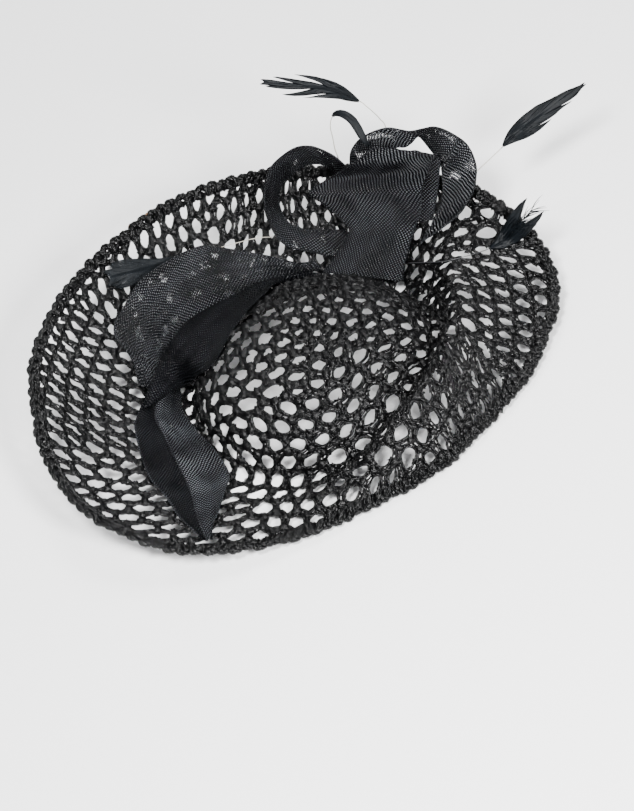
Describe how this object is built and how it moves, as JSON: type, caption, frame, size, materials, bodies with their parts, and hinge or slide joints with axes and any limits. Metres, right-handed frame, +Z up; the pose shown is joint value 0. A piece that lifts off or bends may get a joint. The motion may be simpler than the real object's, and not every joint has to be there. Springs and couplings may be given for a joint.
{
  "type": "plate fascinator",
  "caption": "A black plate fascinator: an upturned open-weave brim round a low crown, swathed sinamay, looped bow and curling feathers, on a hair comb",
  "frame": {"origin": "Middle of the bounding box, at the height of the surface the fascinator rests on.", "axes": "+X runs across the picture to the wearer's left, the way the long feather points; +Y runs away from the camera; +Z is up, from the surface it rests on towards the feathers."},
  "size_m": [0.3702, 0.264, 0.1285],
  "materials": {
    "raffia": "satin",
    "sinamay": "satin",
    "plume": "satin",
    "comb_plastic": "gloss"
  },
  "bodies": {
    "root": {"plate_net": "raffia", "swathe_upper": "sinamay", "swathe_fold": "sinamay", "swathe_tail": "sinamay", "bow_left_loop": "sinamay", "bow_center_fold": "sinamay", "bow_right_loop": "sinamay", "feather_left_up": "plume", "feather_right_up": "plume", "feather_curled": "plume", "feather_right_edge": "plume", "feather_left_edge": "plume", "hair_comb": "comb_plastic"}
  },
  "joints": []
}
